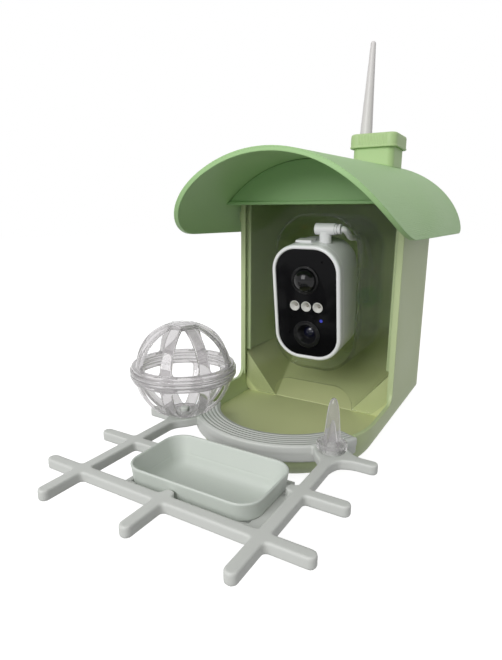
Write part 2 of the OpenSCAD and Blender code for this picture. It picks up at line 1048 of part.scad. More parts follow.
module camera_lead() {
  color(white)
    polyhedron(points = lead_mesh, faces = lead_faces, convexity = 8);
}

module tilt_bracket() {
  arm_h = 12;
  arm_x = 6.3;
  arm_t = 4;
  arm_r = 6.5;
  plate_y = tunnel_back - tunnel_wall;
  color(white)
    difference() {
      union() {
        for (s = [-1, 1]) {
          translate([s * arm_x - arm_t / 2, pivot_at[1], pivot_at[2]])
            rotate([0, 90, 0])
              cylinder(r = arm_r, h = arm_t);
          translate([s * arm_x - arm_t / 2, pivot_at[1] - 2, pivot_at[2] - arm_h / 2])
            cube([arm_t, plate_y - pivot_at[1] + 2, arm_h]);
        }
        translate([-14, plate_y - 4, pivot_at[2] - 15])
          cube([28, 4, 29]);
      }
      translate([-20, pivot_at[1], pivot_at[2]])
        rotate([0, 90, 0])
          cylinder(r = 2, h = 40);
      translate([-4.3, pivot_at[1], pivot_at[2]])
        rotate([0, 90, 0])
          cylinder(r = 8.5, h = 8.6);
    }
}

module tilt_screw() {
  color(steel)
    cam_place()
      translate([-8.3, pivot_y, 0])
        rotate([0, 90, 0]) {
          cylinder(r = 2, h = 18);
          translate([0, 0, 16.6])
            cylinder(r = 4, h = 2.4);
        }
}

module bar_x(y, x0, x1) {
  translate([x0 + bar_w / 2, -y - bar_w / 2, bar_low])
    cube([x1 - x0 - bar_w, bar_w, bar_h]);
  for (x = [x0 + bar_w / 2, x1 - bar_w / 2])
    translate([x, -y, bar_low])
      cylinder(r = bar_w / 2, h = bar_h);
}

module bar_y(x, y0, y1) {
  translate([x - bar_w / 2, -y1 + bar_w / 2, bar_low])
    cube([bar_w, y1 - y0 - bar_w, bar_h]);
  for (y = [y0 + bar_w / 2, y1 - bar_w / 2])
    translate([x, -y, bar_low])
      cylinder(r = bar_w / 2, h = bar_h);
}

module dish_plan(inset) {
  rounded_rect(dish_w - 2 * inset, dish_d - 2 * inset, dish_round - inset);
}

module perch_frame() {
  dish_left = dish_x - dish_w / 2;
  dish_right = dish_x + dish_w / 2;
  arm = atan2(seat_x, seat_y - tray_reach);
  color(pale)
    difference() {
      union() {
        bar_x(front_bar_y, -cross_reach, cross_reach);
        bar_x(middle_bar_y, -cross_reach, dish_left - 0.8);
        bar_x(middle_bar_y, dish_right + 0.8, cross_reach);
        bar_x(rear_bar_y, -cross_reach, -long_bar_x);
        bar_x(rear_bar_y, long_bar_x, cross_reach);
        for (s = [-1, 1])
          bar_y(s * long_bar_x, rear_bar_y - bar_w / 2, tip_y);
        bar_y(0, dish_y + dish_d / 2 - dish_step + fit, tip_y);
        translate([dish_left + 0.5, -front_bar_y, plate_top - plate_t])
          cube([dish_w - 1, front_bar_y - dish_y + dish_d / 2 - 0.5, plate_t]);
        translate([dish_right - 2, -front_bar_y, plate_top - plate_t])
          cube([long_bar_x - dish_right + 2, front_bar_y - middle_bar_y, plate_t]);
        intersection() {
          wedge(collar_span);
          union() {
            ring(collar_in, collar_r, collar_top - collar_plate, collar_top);
            ring(half + fit, collar_r, rim_low - 5.5, collar_top);
            ring(inner - 3, inner - fit - 0.2, rim_low - 3, collar_top);
          }
        }
        for (s = [-1, 1]) {
          translate([s * seat_x, -seat_y, bar_low])
            cylinder(r = cup_r + 0.5, h = bar_h);
          translate([0, -tray_reach, bar_low])
            rotate([0, 0, s * arm])
              translate([-8, -norm([seat_x, seat_y - tray_reach]), 0])
                cube([16, norm([seat_x, seat_y - tray_reach]) - half - 0.6, bar_h]);
          translate([s * seat_x, -seat_y, bar_low])
            cylinder(r = peg_r, h = bar_h + peg_h);
        }
      }
      translate([dish_x, -dish_y, 0])
        linear_extrude(far)
          dish_plan(dish_in - fit);
      for (k = [1:collar_grooves])
        ring(collar_in + k * collar_w / (collar_grooves + 1) - 0.6,
          collar_in + k * collar_w / (collar_grooves + 1) + 0.6, collar_top - 0.8, collar_top + 1);
    }
}

module dish() {
  steps = [[0, 1], [1.2, 0], [dish_drop, dish_step - dish_in], [dish_h - 1.5, -dish_in]];
  hollows = [[dish_t, 0], [dish_drop + dish_t, dish_step - dish_in], [dish_h - 1, -dish_in]];
  color(pale)
    translate([dish_x, -dish_y, dish_low])
      difference() {
        for (k = [0:len(steps) - 1])
          translate([0, 0, steps[k][0]])
            linear_extrude((k < len(steps) - 1 ? steps[k + 1][0] : dish_h) - steps[k][0])
              dish_plan(dish_in + steps[k][1]);
        for (h = hollows)
          translate([0, 0, h[0]])
            linear_extrude(far)
              dish_plan(dish_in + h[1] + dish_t);
      }
}

module spike_cup() {
  color(clear)
    translate([seat_x, -seat_y, rim_z])
      difference() {
        union() {
          cylinder(r1 = cup_r - 1.5, r2 = cup_r, h = 2);
          translate([0, 0, 2])
            cylinder(r = cup_r, h = cup_h - 2);
        }
        translate([0, 0, 3])
          cylinder(r1 = cup_r - 2.5, r2 = cup_r - 1.4, h = cup_h);
        translate([0, 0, -1])
          cylinder(r = peg_r + fit, h = far);
      }
}

module spike() {
  color(clear)
    translate([seat_x, -seat_y, rim_z])
      difference() {
        union() {
          translate([0, 0, 3])
            cylinder(r = 5.4, h = cup_h - 3);
          translate([0, 0, cup_h])
            cylinder(r1 = 5.2, r2 = 1.2, h = spike_h);
          translate([0, 0, cup_h + spike_h])
            sphere(r = 1.22);
        }
        translate([0, 0, -1])
          cylinder(r = peg_r + fit, h = peg_h + 2);
      }
}

module ball_cage() {
  intersection() {
    difference() {
      sphere(r = ball_r);
      sphere(r = ball_r - ball_t);
    }
    union() {
      for (k = [0:hoops - 1])
        rotate([0, 0, k * 180 / hoops + rib_phase])
          cube([2 * ball_r + 2, rib_w, 2 * ball_r + 2], center = true);
      translate([0, 0, -far / 2])
        cylinder(r = hub_r, h = far);
    }
  }
}

module ball_lower() {
  color(clear)
    translate([-seat_x, -seat_y, ball_z])
      difference() {
        union() {
          intersection() {
            ball_cage();
            translate([-far, -far, -ball_r + 0.7])
              cube([2 * far, 2 * far, ball_r - 1]);
          }
          translate([0, 0, -ball_r + 0.7])
            cylinder(r = 7, h = 3);
          difference() {
            translate([0, 0, -ball_band - 0.2])
              cylinder(r = band_r, h = ball_band);
            translate([0, 0, -ball_band - 1])
              cylinder(r = ball_r - ball_t, h = ball_band + 2);
          }
        }
        translate([0, 0, -ball_r])
          cylinder(r = peg_r + fit, h = peg_h + 2);
      }
}

module ball_upper() {
  color(clear)
    translate([-seat_x, -seat_y, ball_z]) {
      intersection() {
        ball_cage();
        translate([-far, -far, 0.2])
          cube([2 * far, 2 * far, far]);
      }
      difference() {
        translate([0, 0, 0.1])
          cylinder(r = band_r, h = ball_band);
        translate([0, 0, -1])
          cylinder(r = ball_r - ball_t, h = ball_band + 2);
      }
      difference() {
        translate([0, 0, -3])
          cylinder(r = ball_r - ball_t - fit, h = 3 + ball_band);
        translate([0, 0, -4])
          cylinder(r = ball_r - ball_t - 1.6, h = 6 + ball_band);
      }
      difference() {
        translate([0, 0, 1.1])
          cylinder(r = ball_r - ball_t + 0.2, h = ball_band - 1);
        translate([0, 0, 0])
          cylinder(r = ball_r - ball_t - 1.6, h = ball_band + 2);
      }
    }
}

housing_shell();
tray_pan();
hopper_floor();
base_cover();
base_screws();
base_insert();
front_window();
camera_tunnel();
roof_shell();
gable_board();
roof_catches();
filler_neck();
filler_lid();
lid_seal();
rear_pad();
rear_inserts();
back_ring();
aerial_jack();
jack_nut();
aerial_swivel();
aerial_rod();
cam_bezel();
cam_shell();
cam_face();
motion_dome();
lamp_cups();
lamp_emitters();
lens_ring();
lens_glass();
status_light();
cam_board();
battery_cells();
port_flap();
elbow_plug();
camera_lead();
tilt_bracket();
tilt_screw();
perch_frame();
dish();
spike();
spike_cup();
ball_lower();
ball_upper();
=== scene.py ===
import math
import bmesh
import bpy
import numpy as np
from mathutils import Matrix, Vector


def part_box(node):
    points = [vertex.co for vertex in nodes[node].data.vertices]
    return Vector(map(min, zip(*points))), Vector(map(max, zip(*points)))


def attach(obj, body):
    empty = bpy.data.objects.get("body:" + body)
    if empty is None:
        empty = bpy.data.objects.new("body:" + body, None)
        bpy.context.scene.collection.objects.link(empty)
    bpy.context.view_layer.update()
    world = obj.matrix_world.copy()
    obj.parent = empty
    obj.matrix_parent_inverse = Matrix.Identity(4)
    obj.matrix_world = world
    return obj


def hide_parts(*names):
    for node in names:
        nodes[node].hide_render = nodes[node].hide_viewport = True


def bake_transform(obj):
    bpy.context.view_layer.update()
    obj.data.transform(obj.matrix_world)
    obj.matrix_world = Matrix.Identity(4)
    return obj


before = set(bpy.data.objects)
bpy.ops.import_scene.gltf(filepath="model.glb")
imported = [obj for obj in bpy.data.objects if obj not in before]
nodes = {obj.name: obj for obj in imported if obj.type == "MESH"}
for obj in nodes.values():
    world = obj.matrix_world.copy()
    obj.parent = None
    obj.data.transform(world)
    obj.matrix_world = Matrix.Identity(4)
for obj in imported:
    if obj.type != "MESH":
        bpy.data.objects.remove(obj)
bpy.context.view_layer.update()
scene = bpy.context.scene
print("feeder frame loaded:", len(nodes), "solids")

# where the photographer stood, worked out from the feeder's own straight edges
shot = dict(place=(0.1442, -0.3425, 0.1618), yaw=30.32, pitch=13.24, roll=0.31,
            focalPixels=484.3, tallPixels=660, sensor=36.0, near=0.01, far=50.0)


def standCamera():
    yaw, pitch, roll = (math.radians(shot[k]) for k in ("yaw", "pitch", "roll"))
    level = math.cos(pitch)
    right = Vector((math.cos(yaw), math.sin(yaw), 0))
    ahead = Vector((-math.sin(yaw) * level, math.cos(yaw) * level, -math.sin(pitch)))
    up = right.cross(ahead)
    side = math.cos(roll) * right + math.sin(roll) * up
    top = -math.sin(roll) * right + math.cos(roll) * up
    data = bpy.data.cameras.new("photoCamera")
    data.sensor_width = shot["sensor"]
    data.lens = shot["focalPixels"] * shot["sensor"] / shot["tallPixels"]
    data.clip_start, data.clip_end = shot["near"], shot["far"]
    cam = bpy.data.objects.new("photoCamera", data)
    scene.collection.objects.link(cam)
    turn = Matrix((side, top, -ahead)).transposed().to_4x4()
    cam.matrix_world = Matrix.Translation(Vector(shot["place"])) @ turn
    scene.camera = cam


standCamera()

# shape tools, all in millimetres until a mesh is made
perMetre = 1000


def span(node):
    low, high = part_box(node)
    return np.array(low) * perMetre, np.array(high) * perMetre


def circle(cols):
    a = np.linspace(0, 2 * np.pi, cols, endpoint=False)
    return np.stack([np.cos(a), np.sin(a)], -1)


def joinShells(*shells):
    # several closed shells as one list of points and one of faces
    points, faces, first = [], [], 0
    for p, f in shells:
        points.append(p)
        faces += [[i + first for i in face] for face in f]
        first += len(p)
    return np.concatenate(points), faces


def ringShell(rings, wrapRows=False):
    # closed loops joined by quads; the two end loops are closed by fans, or joined to each other
    # where rows wrap
    rows, cols = rings.shape[:2]
    steps = np.arange(rows if wrapRows else rows - 1)
    r, c = np.meshgrid(steps, np.arange(cols), indexing="ij")
    up, n = (r + 1) % rows, (c + 1) % cols
    quads = np.stack([r * cols + c, r * cols + n, up * cols + n, up * cols + c], -1).reshape(-1, 4)
    points = rings.reshape(-1, 3)
    if wrapRows:
        return points, quads.tolist()
    col = np.arange(cols)
    nxt = (col + 1) % cols
    low, high, last = rows * cols, rows * cols + 1, (rows - 1) * cols
    points = np.concatenate([points, rings[0].mean(0)[None], rings[-1].mean(0)[None]])
    under = np.stack([np.full(cols, low), nxt, col], -1)
    over = np.stack([np.full(cols, high), col + last, nxt + last], -1)
    return points, quads.tolist() + under.tolist() + over.tolist()


def latheRings(profile, centre, cols=96):
    # profile of radius and height turned about an upright line through the centre
    profile = np.asarray(profile, float)
    flat = np.pad(circle(cols), ((0, 0), (0, 1)))
    rise = np.array([0, 0, 1.0])
    return np.asarray(centre) + profile[:, :1, None] * flat[None] + profile[:, 1:, None] * rise


def roundedLoops(width, depth, corner, perCorner=14):
    # rounded rectangles, one row for each width, depth and corner radius: four arcs, each moved to
    # its own corner
    width, depth, corner = (np.atleast_1d(np.asarray(v, float))[:, None]
                            for v in (width, depth, corner))
    quarter = np.arange(4).repeat(perCorner)
    a = (quarter + np.tile(np.linspace(0, 1, perCorner), 4)) * np.pi / 2
    sx, sy = np.array([1, -1, -1, 1])[quarter], np.array([1, 1, -1, -1])[quarter]
    x = sx * (width / 2 - corner) + corner * np.cos(a)
    y = sy * (depth / 2 - corner) + corner * np.sin(a)
    return x, y


def sweepRings(path, section):
    # a flat section carried along a path, square to it, with the section's second axis kept as
    # upright as it can be
    ahead = np.gradient(path, axis=0)
    ahead /= np.linalg.norm(ahead, axis=1, keepdims=True)
    side = np.cross(ahead, [0, 0, 1.0])
    side /= np.linalg.norm(side, axis=1, keepdims=True)
    top = np.cross(side, ahead)
    across, upward = section[None, :, :1], section[None, :, 1:]
    return path[:, None] + across * side[:, None] + upward * top[:, None]


def smoothPath(points, perSpan=10):
    # a cubic curve through every point but the first and last, whose slope at each point is half
    # the step between its neighbours
    p = np.asarray(points, float)
    t = np.linspace(0, 1, perSpan, endpoint=False)[:, None, None]
    a, b, c, d = p[:-3], p[1:-2], p[2:-1], p[3:]
    bend = (2 * a - 5 * b + 4 * c - d) * t ** 2 + (3 * b - a - 3 * c + d) * t ** 3
    curve = 0.5 * (2 * b + (c - a) * t + bend)
    return np.concatenate([curve.transpose(1, 0, 2).reshape(-1, 3), p[-2:-1]])


def netShell(field, low, step):
    # skin of the space where the field is below nought: a point in each crossed cell, a face round
    # each crossed grid line
    size = np.array(field.shape) - 1
    total, hits = np.zeros((*size, 3)), np.zeros(size)

    def part(offset):
        return field[tuple(slice(k, k + n) for k, n in zip(offset, size))]

    for axis in range(3):
        along = np.eye(3, dtype=int)[axis]
        for a, b in ((0, 0), (0, 1), (1, 0), (1, 1)):
            start = np.insert([a, b], axis, 0)
            p, q = part(start), part(start + along)
            cut = (p < 0) != (q < 0)
            share = np.where(cut, p / np.where(cut, p - q, 1), 0)
            total += (start + along * share[..., None]) * cut[..., None]
            hits += cut
    live = hits > 0
    number = np.full(size, -1)
    number[live] = np.arange(live.sum())
    points = low + step * (np.argwhere(live) + total[live] / hits[live][:, None])
    faces = []
    for order in ((0, 1, 2), (1, 2, 0), (2, 0, 1)):
        f, n = field.transpose(order), number.transpose(order)
        p, q = f[:-1, 1:-1, 1:-1], f[1:, 1:-1, 1:-1]
        around = np.stack([n[:, :-1, :-1], n[:, 1:, :-1], n[:, 1:, 1:], n[:, :-1, 1:]], -1)
        faces += [around[(p < 0) & (q >= 0)], around[(p >= 0) & (q < 0)][:, ::-1]]
    return points, np.concatenate(faces).tolist()


def makePiece(name, shell, body, slotName, paint, *stoodFor, crease=35):
    points, faces = shell
    mesh = bpy.data.meshes.new(name)
    mesh.from_pydata((points / perMetre).tolist(), [], faces)
    outward = bmesh.new()
    outward.from_mesh(mesh)
    bmesh.ops.recalc_face_normals(outward, faces=outward.faces)
    outward.to_mesh(mesh)
    outward.free()
    mesh.shade_smooth()
    mesh.set_sharp_from_angle(angle=math.radians(crease))
    mesh.materials.append(paint)
    obj = bpy.data.objects.new(name, mesh)
    scene.collection.objects.link(obj)
    if body:
        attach(obj, body)
    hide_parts(*stoodFor)
    return obj


# finishes, with lengths in metres
screenCurve = dict(knee=0.04045, lift=0.055, scale=1.055, power=2.4, slope=12.92)
whiteLight = (1, 1, 1, 1)


def tint(r, g, b):
    # screen colour, nought to 255, as the linear colour that Blender wants
    c = np.array([r, g, b]) / 255
    bright = ((c + screenCurve["lift"]) / screenCurve["scale"]) ** screenCurve["power"]
    return (*np.where(c > screenCurve["knee"], bright, c / screenCurve["slope"]), 1.0)


def newGroup(name, inputs, outputs):
    group = bpy.data.node_groups.new(name, "ShaderNodeTree")
    for way, labels in (("INPUT", inputs), ("OUTPUT", outputs)):
        for label, kind in labels.items():
            group.interface.new_socket(label, in_out=way, socket_type="NodeSocket" + kind)
    return group, group.nodes.new("NodeGroupInput"), group.nodes.new("NodeGroupOutput")


def wire(tree, node, wires):
    # for each named input a value or the socket that feeds it
    for key, value in wires.items():
        if isinstance(value, bpy.types.NodeSocket):
            tree.links.new(value, node.inputs[key])
        else:
            node.inputs[key].default_value = value


def addNode(tree, kind, wires=None, **settings):
    node = tree.nodes.new(kind)
    for key, value in settings.items():
        setattr(node, key, value)
    wire(tree, node, wires or {})
    return node


def sums(tree, operation, *values, clamp=False):
    wires = dict(enumerate(values))
    return addNode(tree, "ShaderNodeMath", wires, operation=operation, use_clamp=clamp).outputs[0]


def addUp(tree, total, *others):
    for other in others:
        total = sums(tree, "ADD", total, other)
    return total


def radiusOf(tree, a, b):
    squares = (sums(tree, "MULTIPLY", v, v) for v in (a, b))
    return sums(tree, "SQRT", sums(tree, "ADD", *squares))


def objectPlace(tree):
    return addNode(tree, "ShaderNodeTexCoord").outputs["Object"]


def objectAxes(tree):
    return addNode(tree, "ShaderNodeSeparateXYZ", {0: objectPlace(tree)}).outputs


def noise(tree, scale, detail, **more):
    wires = {"Vector": objectPlace(tree), "Scale": scale, "Detail": detail, **more}
    return addNode(tree, "ShaderNodeTexNoise", wires).outputs["Fac"]


def seenRay(tree):
    # one for the rays that the picture shows: straight, through clear pieces or mirrored
    path = addNode(tree, "ShaderNodeLightPath").outputs
    straight = sums(tree, "ADD", path["Is Camera Ray"], path["Is Transmission Ray"])
    return sums(tree, "ADD", straight, path["Is Glossy Ray"], clamp=True)


# the bevel samples and the edge gain shape a painted highlight along edges
moulded = dict(driftScale=16.0, driftDetail=3.0, driftRough=0.55, grain=2200.0, grainDetail=2.0,
               noiseMiddle=0.5, speck=0.05, bevelSamples=6, edgeHighlightGain=3.0, roughSwing=0.16,
               bumpStrength=0.6, coatRough=0.12)


def makeMouldedSkin():
    # moulded plastic: slow colour drift, fine grain, and a painted highlight that lightens the
    # colour along edges more than on the flats
    group, source, made = newGroup(
        "mouldedSkin",
        dict(Color="Color", Drift="Float", EdgeHighlight="Float", Radius="Float", Rough="Float"),
        dict(Color="Color", Rough="Float", Height="Float", Normal="Vector"))
    given = source.outputs
    drift = noise(group, moulded["driftScale"], moulded["driftDetail"],
                  Roughness=moulded["driftRough"])
    fine = noise(group, moulded["grain"], moulded["grainDetail"])
    slow, quick = (sums(group, "SUBTRACT", v, moulded["noiseMiddle"]) for v in (drift, fine))
    swing = sums(group, "MULTIPLY", slow, given["Drift"])
    speck = sums(group, "MULTIPLY", quick, moulded["speck"])
    soft = addNode(group, "ShaderNodeBevel", {"Radius": given["Radius"]},
                   samples=moulded["bevelSamples"]).outputs["Normal"]
    true = addNode(group, "ShaderNodeNewGeometry").outputs["True Normal"]
    match = addNode(group, "ShaderNodeVectorMath", {0: soft, 1: true},
                    operation="DOT_PRODUCT").outputs["Value"]
    # painted highlight: the colour is lightened where the bevelled normal turns away from the true
    # normal, along edges
    parted = sums(group, "SUBTRACT", 1.0, match, clamp=True)
    edgeHighlight = sums(group, "MULTIPLY", parted, moulded["edgeHighlightGain"], clamp=True)
    gain = addUp(group, 1.0, swing, speck, sums(group, "MULTIPLY", edgeHighlight, given["EdgeHighlight"]))
    shade = addNode(group, "ShaderNodeVectorMath", {0: given["Color"], "Scale": gain},
                    operation="SCALE").outputs[0]
    uneven = sums(group, "MULTIPLY", slow, moulded["roughSwing"])
    rough = sums(group, "ADD", given["Rough"], uneven, clamp=True)
    wire(group, made, dict(Color=shade, Rough=rough, Height=fine, Normal=soft))
    return group


mouldedSkin = makeMouldedSkin()


def newFinish(name):
    mat = bpy.data.materials.new(name)
    mat.use_nodes = True
    return mat, mat.node_tree, mat.node_tree.nodes["Principled BSDF"]


def mouldedFinish(name, color, rough, drift=0.06, edgeHighlight=0.18, radius=0.0009, dent=0.00001,
                  relief=None, coat=0.0, shine=0.5):
    # the edge amount sets how strongly a painted highlight lightens the colour along edges
    # relief is a function that gives a height in metres from the tree, laid over the grain
    mat, tree, shader = newFinish(name)
    wires = dict(Color=color, Drift=drift, EdgeHighlight=edgeHighlight, Radius=radius, Rough=rough)
    skin = addNode(tree, "ShaderNodeGroup", wires, node_tree=mouldedSkin).outputs
    normal = addNode(tree, "ShaderNodeBump", {
        "Height": skin["Height"], "Normal": skin["Normal"],
        "Strength": moulded["bumpStrength"], "Distance": dent}).outputs[0]
    if relief:
        normal = addNode(tree, "ShaderNodeBump", {
            "Height": relief(tree), "Normal": normal, "Strength": 1.0, "Distance": 1.0}).outputs[0]
    wire(tree, shader, {
        "Base Color": skin["Color"], "Roughness": skin["Rough"], "Normal": normal,
        "Specular IOR Level": shine, "Coat Weight": coat, "Coat Roughness": moulded["coatRough"]})
    return mat


roofWeave = dict(axisHeight=0.1115, front=-0.084, slope=math.tan(math.radians(2)), skin=0.0892,
                 round=0.09, pitch=0.0024, depth=0.00013)
collarRidges = dict(centreY=-0.042, inner=0.0505, outer=0.0660, count=6, top=0.0265, depth=0.00055)


def roofRelief(tree):
    # two sets of slanting ridges wrapped round the arch, measured by angle and by length
    x, y, z = objectAxes(tree)
    back = sums(tree, "SUBTRACT", y, roofWeave["front"])
    rise = sums(tree, "MULTIPLY", back, roofWeave["slope"])
    high = sums(tree, "SUBTRACT", sums(tree, "SUBTRACT", z, roofWeave["axisHeight"]), rise)
    turn = 2 * math.pi / roofWeave["pitch"]
    angle = sums(tree, "ARCTAN2", x, high)
    around = sums(tree, "MULTIPLY", angle, roofWeave["round"] * turn)
    length = sums(tree, "MULTIPLY", y, turn)
    waves = [sums(tree, "SINE", sums(tree, way, around, length)) for way in ("ADD", "SUBTRACT")]
    outside = sums(tree, "GREATER_THAN", radiusOf(tree, x, high), roofWeave["skin"])
    weave = sums(tree, "MULTIPLY", sums(tree, "MAXIMUM", *waves), outside)
    return sums(tree, "MULTIPLY", weave, roofWeave["depth"])


def ridgeRelief(tree):
    # rings of ridges on the collar's top, counted outward from the tray's centre
    x, y, z = objectAxes(tree)
    reach = radiusOf(tree, x, sums(tree, "SUBTRACT", y, collarRidges["centreY"]))
    wide = collarRidges["outer"] - collarRidges["inner"]
    share = sums(tree, "DIVIDE", sums(tree, "SUBTRACT", reach, collarRidges["inner"]), wide)
    turns = sums(tree, "MULTIPLY", share, math.pi * collarRidges["count"])
    wave = sums(tree, "ABSOLUTE", sums(tree, "SINE", turns))
    past, short = sums(tree, "GREATER_THAN", share, 0.0), sums(tree, "LESS_THAN", share, 1.0)
    within = sums(tree, "MULTIPLY", past, short)
    top = sums(tree, "MULTIPLY", within, sums(tree, "GREATER_THAN", z, collarRidges["top"]))
    return sums(tree, "MULTIPLY", sums(tree, "MULTIPLY", wave, top), collarRidges["depth"])


glassy = dict(coatIor=1.45, waveScale=60.0, waveDetail=1.0, waveStrength=0.5, ripple=0.00002,
              smearScale=25.0, smearDetail=4.0, passed=(0.93, 0.94, 0.93, 1))


def clearFinish(name, color, ior, gloss, rough=0.03, through=1.0, plain=0.0):
    # clear moulding; lamps shine through it, so it casts only a faint shadow, and plain is the
    # share seen straight through
    mat, tree, shader = newFinish(name)
    wave = noise(tree, glassy["waveScale"], glassy["waveDetail"])
    smear = noise(tree, glassy["smearScale"], glassy["smearDetail"])
    normal = addNode(tree, "ShaderNodeBump", {
        "Height": wave, "Strength": glassy["waveStrength"],
        "Distance": glassy["ripple"]}).outputs[0]
    wire(tree, shader, {
        "Base Color": color, "Transmission Weight": through, "IOR": ior, "Normal": normal,
        "Roughness": sums(tree, "MULTIPLY", smear, 2 * rough),
        "Coat Weight": gloss, "Coat IOR": glassy["coatIor"], "Coat Roughness": rough})
    path = addNode(tree, "ShaderNodeLightPath").outputs
    lit = sums(tree, "MAXIMUM", path["Is Shadow Ray"], path["Is Diffuse Ray"])
    passed = addNode(tree, "ShaderNodeBsdfTransparent", {"Color": glassy["passed"]})
    mix = addNode(tree, "ShaderNodeMixShader", {
        0: sums(tree, "MAXIMUM", lit, plain), 1: shader.outputs[0], 2: passed.outputs[0]})
    wire(tree, tree.nodes["Material Output"], {"Surface": mix.outputs[0]})
    return mat


metal = dict(grain=3000.0, detail=3.0, swing=0.2)
lampDome = dict(grain=1500.0, detail=1.0, rough=0.3)


def metalFinish(name, color, rough):
    mat, tree, shader = newFinish(name)
    uneven = sums(tree, "MULTIPLY", noise(tree, metal["grain"], metal["detail"]), metal["swing"])
    wire(tree, shader, {"Base Color": color, "Metallic": 1.0,
                        "Roughness": sums(tree, "ADD", uneven, rough - metal["swing"] / 2)})
    return mat


def lampFinish(name, color, glow):
    mat, tree, shader = newFinish(name)
    fine = noise(tree, lampDome["grain"], lampDome["detail"])
    wire(tree, shader, {"Base Color": color, "Emission Color": color, "Emission Strength": glow,
                        "Roughness": sums(tree, "MULTIPLY", fine, lampDome["rough"])})
    return mat


finish = dict(
    housing=mouldedFinish("sageHousing", tint(186, 200, 152), 0.5),
    roof=mouldedFinish("ridgedLeafRoof", tint(163, 201, 140), 0.5, relief=roofRelief),
    leaf=mouldedFinish("leafPlastic", tint(180, 208, 148), 0.5),
    # the gable board takes the roof's green painted darker: painted shade where the roof's shadow
    # falls on it
    gable=mouldedFinish("leafInPaintedShade", tint(142, 182, 122), 0.5),
    cap=mouldedFinish("grippedLeaf", tint(178, 204, 146), 0.5),
    tray=mouldedFinish("trayGreen", tint(200, 206, 153), 0.5),
    ring=mouldedFinish("leafRing", tint(120, 190, 90), 0.3),
    pale=mouldedFinish("palePlastic", tint(202, 208, 201), 0.5, drift=0.03),
    frame=mouldedFinish("ridgedPalePlastic", tint(204, 206, 202), 0.5, drift=0.03,
                        relief=ridgeRelief),
    white=mouldedFinish("whiteCase", tint(238, 238, 240), 0.3, drift=0.02, coat=0.3),
    aerial=mouldedFinish("aerialWhite", tint(226, 222, 222), 0.4, drift=0.02),
    lead=mouldedFinish("leadSleeve", tint(230, 230, 230), 0.5, drift=0.02),
    # the black face takes a stronger painted highlight along its edges
    black=mouldedFinish("blackGlass", tint(14, 14, 16), 0.1, drift=0.2, edgeHighlight=0.5, radius=0.0004,
                        dent=0.000002, shine=0.08),
    dome=mouldedFinish("domeBlack", tint(12, 12, 14), 0.12, drift=0.2, radius=0.0003, shine=0.3),
    barrel=mouldedFinish("lensBarrel", tint(18, 18, 20), 0.25, drift=0.1, radius=0.0003,
                         shine=0.35),
    lens=mouldedFinish("lensCoating", tint(16, 18, 40), 0.05, drift=0.1, radius=0.0002,
                       dent=0.000001, shine=0.6),
    board=mouldedFinish("boardGreen", tint(40, 110, 70), 0.4),
    cells=mouldedFinish("cellWrap", tint(90, 130, 190), 0.35),
    seal=mouldedFinish("sealRubber", tint(40, 40, 40), 0.8),
    clear=clearFinish("clearPane", (0.96, 0.97, 0.95, 1), ior=1.08, gloss=0.7, plain=0.7),
    tunnel=clearFinish("clearTunnel", (0.93, 0.95, 0.91, 1), ior=1.1, gloss=0.8, plain=0.6),
    cage=clearFinish("clearCage", (0.70, 0.68, 0.69, 1), rough=0.06, ior=1.25, gloss=0.7,
                     through=0.78),
    chrome=mouldedFinish("lampCup", tint(212, 211, 207), 0.25, drift=0.04, radius=0.0003, coat=0.6),
    zinc=metalFinish("dullZinc", tint(120, 124, 112), 0.5),
    steel=metalFinish("screwSteel", tint(190, 192, 196), 0.3),
    brass=metalFinish("socketBrass", tint(214, 178, 108), 0.3),
    glow=lampFinish("lampDome", tint(140, 137, 128), 0.08),
    blue=lampFinish("statusBlue", tint(44, 52, 170), 0.35),
)
print("finishes made:", len(finish))

# which finish each solid that stays takes
nodeFinish = dict(
    housing=("housing_shell", "base_cover", "roof_catches", "rear_pad"),
    roof=("roof_shell",), leaf=("filler_neck",), gable=("gable_board",),
    tray=("tray_pan", "hopper_floor"), clear=("front_window",), tunnel=("camera_tunnel",),
    white=("port_flap", "elbow_plug", "tilt_bracket"), aerial=("aerial_swivel", "aerial_rod"),
    black=("cam_face",), dome=("motion_dome",), barrel=("lens_ring",), lens=("lens_glass",),
    chrome=("lamp_cups",), glow=("lamp_emitters",), blue=("status_light",),
    board=("cam_board",), cells=("battery_cells",), seal=("lid_seal",),
    steel=("base_screws", "tilt_screw"), brass=("base_insert", "aerial_jack", "jack_nut"),
    zinc=("rear_inserts",))
for label, members in nodeFinish.items():
    for member in members:
        nodes[member].data.materials.clear()
        nodes[member].data.materials.append(finish[label])

# camera case: one rounded loop that starts deep inside, comes forward to the rim's inner lip and
# goes round the front edge to the back
case = dict(wide=54.0, tall=89.0, corner=20.0, leastCorner=5.0, out=16.0, height=97.7, tilt=8.5,
            deep=44.0, lugHalf=4.0, lugReach=7.0, lugRound=7.0, lugSunk=1.0, lugSteps=24)
# inset from the case's outline and depth behind the face
caseProfile = np.array([
    (2.2, 37.0), (2.2, 5.0), (3.1, 4.4), (3.1, 1.0), (2.8, 0.35), (2.1, 0.0), (1.3, 0.1),
    (0.55, 0.6), (0.12, 1.5), (0, 2.8), (0, 6.7), (0.3, 6.85), (0.3, 7.15), (0, 7.3), (0, 34.0),
    (0.3, 36.5), (1.2, 39.5), (2.8, 42.0), (5.0, 43.5), (8.0, 44.0), (14.0, 44.0)])
# place across the lug, as a share of its half width, and how far its edge is eased there
lugProfile = np.array([(-1.0, 0.8), (-0.8, 0.2), (-0.5, 0.0), (0.5, 0.0), (0.8, 0.2), (1.0, 0.8)])


def tiltCase(x, y, z):
    # from the camera's own place, face at nought and depth along y, to the feeder's
    t = math.radians(case["tilt"])
    deep = -case["out"] + y * math.cos(t) - z * math.sin(t)
    return np.stack([x, deep, case["height"] + y * math.sin(t) + z * math.cos(t)], -1)


